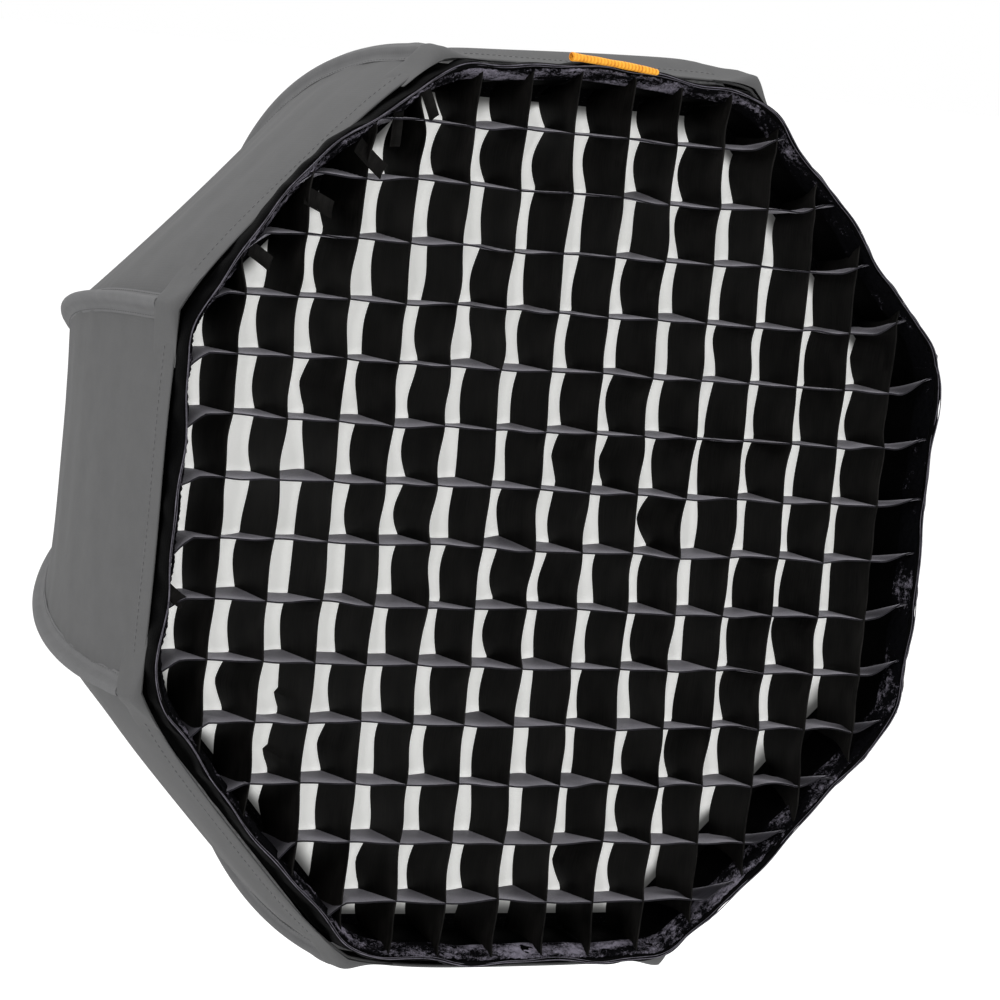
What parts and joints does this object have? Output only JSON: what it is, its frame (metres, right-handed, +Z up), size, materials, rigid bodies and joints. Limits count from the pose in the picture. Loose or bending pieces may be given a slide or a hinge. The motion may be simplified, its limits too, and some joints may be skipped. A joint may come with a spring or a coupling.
{
  "type": "octabox",
  "caption": "Eight-sided folding softbox on a round mount ring, with a front diffuser and a fabric egg-crate grid.",
  "frame": {"origin": "centre of the rear mount ring's bore", "axes": "+Y out of the rear, towards the light; the open front faces -Y; +Z up"},
  "size_m": [0.615, 0.5176, 0.6185],
  "materials": {
    "shell_fabric": "matte woven nylon, silver lined",
    "sleeve_webbing": "matte ribbed webbing",
    "glass_fibre_rod": "pultruded glass fibre, satin",
    "black_nylon": "moulded nylon, fine grain",
    "anodised_hub": "black anodised, satin",
    "mount_metal": "turned, satin",
    "steel": "zinc plated",
    "black_webbing": "matte woven tape",
    "diffuser_fabric": "translucent white ripstop",
    "grid_fabric": "matte coated nylon",
    "piping": "folded binding edge",
    "orange_ribbon": "ribbed ribbon"
  },
  "bodies": {
    "mount": {"mount_ring": "mount_metal", "retaining_ring": "anodised_hub", "retaining_screws": "steel"},
    "hub": {"hub_ring": "anodised_hub", "hinge_pins": "steel", "rear_collar": "shell_fabric"},
    "lock": {"lock_screw": "steel", "lock_knob": "black_nylon"},
    "rib_1": {"rib_rod_1": "glass_fibre_rod", "rib_sleeve_1": "sleeve_webbing", "rib_tip_1": "black_nylon", "rib_knuckle_1": "black_nylon"},
    "panel_1": {"shell_panel_1": "shell_fabric"},
    "rib_2": {"rib_rod_2": "glass_fibre_rod", "rib_sleeve_2": "sleeve_webbing", "rib_tip_2": "black_nylon", "rib_knuckle_2": "black_nylon"},
    "panel_2": {"shell_panel_2": "shell_fabric"},
    "rib_3": {"rib_rod_3": "glass_fibre_rod", "rib_sleeve_3": "sleeve_webbing", "rib_tip_3": "black_nylon", "rib_knuckle_3": "black_nylon"},
    "panel_3": {"shell_panel_3": "shell_fabric"},
    "rib_4": {"rib_rod_4": "glass_fibre_rod", "rib_sleeve_4": "sleeve_webbing", "rib_tip_4": "black_nylon", "rib_knuckle_4": "black_nylon"},
    "panel_4": {"shell_panel_4": "shell_fabric"},
    "rib_5": {"rib_rod_5": "glass_fibre_rod", "rib_sleeve_5": "sleeve_webbing", "rib_tip_5": "black_nylon", "rib_knuckle_5": "black_nylon"},
    "panel_5": {"shell_panel_5": "shell_fabric"},
    "rib_6": {"rib_rod_6": "glass_fibre_rod", "rib_sleeve_6": "sleeve_webbing", "rib_tip_6": "black_nylon", "rib_knuckle_6": "black_nylon"},
    "panel_6": {"shell_panel_6": "shell_fabric"},
    "rib_7": {"rib_rod_7": "glass_fibre_rod", "rib_sleeve_7": "sleeve_webbing", "rib_tip_7": "black_nylon", "rib_knuckle_7": "black_nylon"},
    "panel_7": {"shell_panel_7": "shell_fabric"},
    "rib_8": {"rib_rod_8": "glass_fibre_rod", "rib_sleeve_8": "sleeve_webbing", "rib_tip_8": "black_nylon", "rib_knuckle_8": "black_nylon"},
    "panel_8": {"shell_panel_8": "shell_fabric"},
    "diffuser": {"diffuser_border": "black_webbing", "diffuser_cloth": "diffuser_fabric"},
    "grid": {"grid_band": "black_webbing", "grid_piping": "piping", "grid_vertical_strips": "grid_fabric", "grid_horizontal_strips": "grid_fabric", "pull_tab": "orange_ribbon"}
  },
  "joints": [
    {"name": "box_turn", "type": "hinge", "parent": "mount", "child": "hub", "pos_m": [0, 0, 0], "axis": [0, 1, 0], "continuous": true},
    {"name": "lock_turn", "type": "hinge", "parent": "hub", "child": "lock", "pos_m": [0.08, 0.002, 0], "axis": [1, 0, 0], "range_deg": [0, 360]},
    {"name": "rib_1_fold", "type": "hinge", "parent": "hub", "child": "rib_1", "pos_m": [0.07853, -0.02958, 0.03253], "axis": [0.3827, 0, -0.9239], "range_deg": [0, 30]},
    {"name": "rib_2_fold", "type": "hinge", "parent": "hub", "child": "rib_2", "pos_m": [0.03253, -0.02958, 0.07853], "axis": [0.9239, 0, -0.3827], "range_deg": [0, 30]},
    {"name": "rib_3_fold", "type": "hinge", "parent": "hub", "child": "rib_3", "pos_m": [-0.03253, -0.02958, 0.07853], "axis": [0.9239, 0, 0.3827], "range_deg": [0, 30]},
    {"name": "rib_4_fold", "type": "hinge", "parent": "hub", "child": "rib_4", "pos_m": [-0.07853, -0.02958, 0.03253], "axis": [0.3827, 0, 0.9239], "range_deg": [0, 30]},
    {"name": "rib_5_fold", "type": "hinge", "parent": "hub", "child": "rib_5", "pos_m": [-0.07853, -0.02958, -0.03253], "axis": [-0.3827, 0, 0.9239], "range_deg": [0, 30]},
    {"name": "rib_6_fold", "type": "hinge", "parent": "hub", "child": "rib_6", "pos_m": [-0.03253, -0.02958, -0.07853], "axis": [-0.9239, 0, 0.3827], "range_deg": [0, 30]},
    {"name": "rib_7_fold", "type": "hinge", "parent": "hub", "child": "rib_7", "pos_m": [0.03253, -0.02958, -0.07853], "axis": [-0.9239, 0, -0.3827], "range_deg": [0, 30]},
    {"name": "rib_8_fold", "type": "hinge", "parent": "hub", "child": "rib_8", "pos_m": [0.07853, -0.02958, -0.03253], "axis": [-0.3827, 0, -0.9239], "range_deg": [0, 30]},
    {"name": "panel_1_fold", "type": "hinge", "parent": "hub", "child": "panel_1", "pos_m": [0.05553, -0.02958, 0.05553], "axis": [0.7071, 0, -0.7071], "range_deg": [0, 28], "deforming": ["shell_panel_1"]},
    {"name": "panel_2_fold", "type": "hinge", "parent": "hub", "child": "panel_2", "pos_m": [0, -0.02958, 0.07853], "axis": [1, 0, 0], "range_deg": [0, 28], "deforming": ["shell_panel_2"]},
    {"name": "panel_3_fold", "type": "hinge", "parent": "hub", "child": "panel_3", "pos_m": [-0.05553, -0.02958, 0.05553], "axis": [0.7071, 0, 0.7071], "range_deg": [0, 28], "deforming": ["shell_panel_3"]},
    {"name": "panel_4_fold", "type": "hinge", "parent": "hub", "child": "panel_4", "pos_m": [-0.07853, -0.02958, 0], "axis": [0, 0, 1], "range_deg": [0, 28], "deforming": ["shell_panel_4"]},
    {"name": "panel_5_fold", "type": "hinge", "parent": "hub", "child": "panel_5", "pos_m": [-0.05553, -0.02958, -0.05553], "axis": [-0.7071, 0, 0.7071], "range_deg": [0, 28], "deforming": ["shell_panel_5"]},
    {"name": "panel_6_fold", "type": "hinge", "parent": "hub", "child": "panel_6", "pos_m": [0, -0.02958, -0.07853], "axis": [-1, 0, 0], "range_deg": [0, 28], "deforming": ["shell_panel_6"]},
    {"name": "panel_7_fold", "type": "hinge", "parent": "hub", "child": "panel_7", "pos_m": [0.05553, -0.02958, -0.05553], "axis": [-0.7071, 0, -0.7071], "range_deg": [0, 28], "deforming": ["shell_panel_7"]},
    {"name": "panel_8_fold", "type": "hinge", "parent": "hub", "child": "panel_8", "pos_m": [0.07853, -0.02958, 0], "axis": [0, 0, -1], "range_deg": [0, 28], "deforming": ["shell_panel_8"]},
    {"name": "diffuser_slide", "type": "slide", "parent": "hub", "child": "diffuser", "axis": [0, -1, 0], "range_m": [0, 0.21], "deforming": ["diffuser_border", "diffuser_cloth"]},
    {"name": "grid_slide", "type": "slide", "parent": "diffuser", "child": "grid", "axis": [0, -1, 0], "range_m": [0, 0.25], "deforming": ["grid_band", "grid_piping", "grid_vertical_strips", "grid_horizontal_strips"]}
  ],
  "couplings": [
    {"joint": "rib_2_fold", "follows": "rib_1_fold", "ratio": 1},
    {"joint": "rib_3_fold", "follows": "rib_1_fold", "ratio": 1},
    {"joint": "rib_4_fold", "follows": "rib_1_fold", "ratio": 1},
    {"joint": "rib_5_fold", "follows": "rib_1_fold", "ratio": 1},
    {"joint": "rib_6_fold", "follows": "rib_1_fold", "ratio": 1},
    {"joint": "rib_7_fold", "follows": "rib_1_fold", "ratio": 1},
    {"joint": "rib_8_fold", "follows": "rib_1_fold", "ratio": 1},
    {"joint": "panel_1_fold", "follows": "rib_1_fold", "ratio": 0.93},
    {"joint": "panel_2_fold", "follows": "rib_1_fold", "ratio": 0.93},
    {"joint": "panel_3_fold", "follows": "rib_1_fold", "ratio": 0.93},
    {"joint": "panel_4_fold", "follows": "rib_1_fold", "ratio": 0.93},
    {"joint": "panel_5_fold", "follows": "rib_1_fold", "ratio": 0.93},
    {"joint": "panel_6_fold", "follows": "rib_1_fold", "ratio": 0.93},
    {"joint": "panel_7_fold", "follows": "rib_1_fold", "ratio": 0.93},
    {"joint": "panel_8_fold", "follows": "rib_1_fold", "ratio": 0.93},
    {"joint": "diffuser_slide", "follows": "rib_1_fold", "m_per_rad": 0.4}
  ]
}
